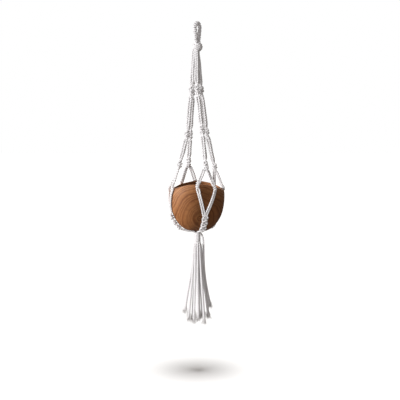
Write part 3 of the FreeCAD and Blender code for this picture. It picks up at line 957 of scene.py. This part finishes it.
def make_loop():
    """The hanging loop: a core of cords with square knots tied round it all the way."""
    knots = 12
    turn = math.radians(LOOP_AZIMUTH)
    along_plane = np.array([math.cos(turn), math.sin(turn), 0.0])
    through = np.array([-math.sin(turn), math.cos(turn), 0.0])
    outline = HALF_LOOP + tuple((-x, depth) for x, depth in HALF_LOOP[-2::-1])
    spots = [along_plane * x + np.array([0, 0, -depth]) for x, depth in outline]
    line, _ = smooth_line(spots, step=0.0005)
    along = length_along(line)
    tangents = tangents_along(line)
    loop = Cords()
    loop.add_rope(respaced(line, along, STEP), radius=0.0024, phase=0.2)
    tall = along[-1] / knots
    paths = ([], [])
    for number in range(knots):
        for path, shape in zip(paths, square_knot(tall, 0.62, 0.54)[2:]):
            for out_by, side_by, below in shape[:-1]:
                here = number * tall + below
                outwards = unit(np.cross(unit(value_at(here, along, tangents)), through))
                path.append(value_at(here, along, line) + outwards * side_by + through * out_by)
    for number, path in enumerate(paths):
        rope, _ = smooth_line(path, step=0.0015)
        loop.add_rope(rope, radius=0.0026, phase=number * 0.37, lay=0.016)
    made = loop.make("hanging_loop_braid", COTTON)
    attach(made, "loop")
    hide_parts("hanging_loop")


def make_crown():
    """The crown knot: bands of three cords each that cross over the front and back of the ball."""
    wide, tall = 0.0138, 0.0128
    row_gap = 0.0056
    rise_over = 0.07       # how much further out a band lies where it crosses over the other
    steps = 32
    crown = Cords()
    for band, (lean, over_sign) in enumerate(((math.radians(27), -1), (math.radians(-27), 1))):
        for row in (-1, 0, 1):
            lift = row * row_gap
            ring = math.sqrt(max(0.0, 1 - (lift / tall) ** 2))
            points = []
            for step in range(steps + 1):
                angle = math.tau * step / steps
                over = 1.0 + rise_over * math.cos(angle) * over_sign
                x, y = math.sin(angle) * wide * ring, -math.cos(angle) * wide * ring
                across = x * math.cos(lean) - lift * math.sin(lean)
                height = x * math.sin(lean) + lift * math.cos(lean)
                points.append(CROWN + np.array([across, y, height]) * over)
            rope, _ = smooth_line(points, step=0.0016)
            crown.add_rope(rope, radius=0.0031, phase=band * 0.3 + row * 0.2)
    made = crown.make("crown_knot_rope", COTTON)
    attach(made, "crown")
    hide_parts("crown_knot")


def make_wrap():
    """The wrapping cord: turns laid close on each other round the strands below the bowl."""
    turns, steps_each = 6, 14
    reach = 0.0083
    top, bottom = WRAP_TOP - 0.0005, WRAP_BOTTOM - 0.0018
    steps = turns * steps_each
    points = []
    for step in range(steps + 1):
        share = step / steps
        azimuth = WRAP_START - share * turns * 360
        points.append(at(azimuth, reach, top + share * (bottom - top)))
    rope, _ = smooth_line(points, step=0.0016)
    wrap = Cords()
    wrap.add_rope(rope, radius=0.0026, phase=0.1)
    made = wrap.make("gathering_wrap_coil", COTTON)
    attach(made, "wrap")
    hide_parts("gathering_wrap")


def make_gathered_cords():
    """The strands inside the wrap, two tight bundles for each arm."""
    reach = 0.0040
    first_depth = WRAP_TOP + 0.002
    bundle = Cords()
    for arm in ARMS:
        azimuth = azimuth_of(centre_of(f"{arm}_lower_knot"))
        for shift in (-0.0016, 0.0016):
            points = []
            for share in (0.0, 0.33, 0.67, 1.0):
                depth = first_depth + share * (WRAP_BOTTOM - WRAP_TOP - 0.002)
                points.append(at(azimuth, reach, depth) + at(azimuth + 90, shift, 0))
            line, _ = smooth_line(points)
            bundle.add_rope(line, radius=0.0021, phase=shift * 100)
    made = bundle.make("gathered_cords_rope", COTTON)
    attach(made, "wrap")
    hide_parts("gathered_cords")


make_loop()
make_crown()
make_wrap()
make_gathered_cords()


# ------------------------------ the bowl

USUAL_RIM = 0.490       # the depth at which the bowl's radius stands for its radius at the rim


def rim_depth_at(azimuth, radius):
    """The depth of the log's own surface over a point of the rim. This azimuth is in radians."""
    x = radius * math.sin(azimuth)
    return RIM_CREST + LOG_RADIUS - math.sqrt(LOG_RADIUS**2 - x**2)


def bowl_column(outer_rim, inner_rim, steps):
    """A slice through the wall, from the base up the outside, over the lip and down the inside.

    Its points are (reach, depth). The steps are finest at the base and the floor, where it curves
    most, and the lip is rounded.
    """
    def inside(depth):
        return bowl_radius_at(depth, BOWL_WALL, BOWL_BASE - BOWL_FLOOR)

    outer_start, inner_start = outer_rim + 0.0013, inner_rim + 0.0014
    column = []
    for step in range(steps + 1):
        share = math.sin(math.pi / 2 * (1 - step / steps))
        depth = outer_start + share * (BOWL_BASE - outer_start)
        column.append((bowl_radius_at(depth), depth))
    rim_out, rim_in = bowl_radius_at(outer_rim), inside(inner_rim)
    column.append((rim_out - 0.0006, outer_rim + 0.0003))
    column.append((rim_out - 0.0018, outer_rim - 0.0001))
    column.append(((rim_out + rim_in) / 2, (outer_rim + inner_rim) / 2))
    column.append((rim_in + 0.0018, inner_rim - 0.0001))
    column.append((rim_in + 0.0006, inner_rim + 0.0004))
    for step in range(steps + 1):
        share = math.sin(math.pi / 2 * step / steps)
        depth = inner_start + share * (BOWL_FLOOR - inner_start)
        column.append((inside(depth), depth))
    return column


def make_bowl():
    """The turned bowl, with the log's own wavering surface as its rim and a few shallow dents."""
    around, up = 192, 40
    rim_radius = bowl_radius_at(USUAL_RIM)
    rng = random.Random("bowl")
    waves = [(rng.randint(2, 9), rng.uniform(0, math.tau), rng.uniform(0.2, 0.45)) for _ in range(7)]
    points = []
    for number in range(around):
        azimuth = math.tau * number / around
        waver = sum(size * math.sin(count * azimuth + shift) for count, shift, size in waves)
        outer_rim = rim_depth_at(azimuth, rim_radius) + waver * 0.0004
        inner_rim = rim_depth_at(azimuth, rim_radius - BOWL_WALL) + waver * 0.0005 + 0.0003
        for reach, depth in bowl_column(outer_rim, inner_rim, up):
            wide_dent = 0.00018 * math.sin(3 * azimuth + 40 * depth)
            small_dent = 0.00012 * math.sin(7 * azimuth - 90 * depth)
            points.append(at(math.degrees(azimuth), max(reach + (wide_dent + small_dent), 0.0), depth))
    rows = len(points) // around
    base, floor = len(points), len(points) + 1
    points.append(at(0, 0, BOWL_BASE))
    points.append(at(0, 0, BOWL_FLOOR))
    faces = []
    for number in range(around):
        here, there = number * rows, (number + 1) % around * rows
        for step in range(rows - 1):
            faces.append((here + step, there + step, there + step + 1, here + step + 1))
        faces.append((base, there, here))
        faces.append((floor, here + rows - 1, there + rows - 1))
    bowl = new_object("turned_bowl", [tuple(point) for point in points], faces, TEAK)
    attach(bowl, "bowl")
    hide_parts("wooden_bowl")
    return bowl


BOWL = make_bowl()


# ------------------------------ studio

FLOOR_DEPTH = 1.075


def make_floor():
    """A plain white floor. It throws no light back up, so the planter keeps its dark side."""
    reach = 14.0
    ways = ((-1, -1), (1, -1), (1, 1), (-1, 1))
    corners = [(reach * x, reach * y, -FLOOR_DEPTH) for x, y in ways]
    nodes = Nodes("floor_paint")
    nodes.uniform("Base Color", (0.94, 0.94, 0.94, 1.0))
    nodes.uniform("Roughness", 1.0)
    nodes.uniform("Specular IOR Level", 0.0)
    floor = new_object("floor", corners, [(0, 1, 2, 3)], nodes.material)
    floor.visible_diffuse = False
    floor.visible_glossy = False
    return floor


def sun(name, azimuth, elevation, softness, strength, lights, colour=(1.0, 1.0, 1.0)):
    """A distant soft light, from an azimuth and an elevation in degrees, on some of the objects."""
    data = bpy.data.lights.new(name, "SUN")
    data.angle = math.radians(softness)
    data.energy = strength
    data.color = colour
    light = bpy.data.objects.new(name, data)
    rise = math.radians(elevation)
    towards = Vector(at(azimuth, math.cos(rise), -math.sin(rise)))
    light.rotation_euler = towards.to_track_quat("Z", "Y").to_euler()
    light.location = towards * 3
    light.light_linking.receiver_collection = lights
    bpy.context.scene.collection.objects.link(light)


def make_lights(floor, bowl):
    """Soft light from the front left: strong on the dark wood, gentler on the white cords.

    The floor has its own light. Each line gives azimuth, elevation, softness and strength.
    """
    floor_only = bpy.data.collections.new("floor_only")
    floor_only.objects.link(floor)
    bowl_only = bpy.data.collections.new("bowl_only")
    bowl_only.objects.link(bowl)
    cords_only = bpy.data.collections.new("cords_only")
    for number, other in enumerate((floor, bowl)):
        cords_only.objects.link(other)
        cords_only.collection_objects[number].light_linking.link_state = "EXCLUDE"
    sun("bowl_key", -80, 14, 10, 5.2, bowl_only)
    sun("bowl_front", -20, 0, 50, 0.6, bowl_only)
    sun("bowl_top", -20, 80, 30, 0.5, bowl_only)
    sun("cord_key", -54, 14, 9, 3.1, cords_only, (0.985, 0.985, 1.0))
    sun("cord_front", -6, 0, 50, 0.88, cords_only, (0.93, 0.93, 1.0))
    sun("cord_back", 186, 12, 60, 1.5, cords_only)
    sun("bowl_back", 186, 12, 60, 1.1, bowl_only)
    sun("floor_light", 0, 89, 24, 3.2, floor_only)


def make_room():
    """A dim warm light from all round, which the camera sees as white."""
    world = bpy.data.worlds.new("room")
    bpy.context.scene.world = world
    world.use_nodes = True
    tree = world.node_tree
    dim = tree.nodes["Background"]
    dim.inputs["Color"].default_value = (1.0, 0.91, 0.83, 1.0)
    dim.inputs["Strength"].default_value = 0.20
    white = tree.nodes.new("ShaderNodeBackground")
    white.inputs["Color"].default_value = (1.0, 1.0, 1.0, 1.0)
    seen = tree.nodes.new("ShaderNodeLightPath")
    either = tree.nodes.new("ShaderNodeMixShader")
    tree.links.new(seen.outputs["Is Camera Ray"], either.inputs[0])
    tree.links.new(dim.outputs[0], either.inputs[1])
    tree.links.new(white.outputs[0], either.inputs[2])
    tree.links.new(either.outputs[0], tree.nodes["World Output"].inputs["Surface"])
    bpy.context.scene.view_settings.view_transform = "Standard"


make_lights(make_floor(), BOWL)
make_room()
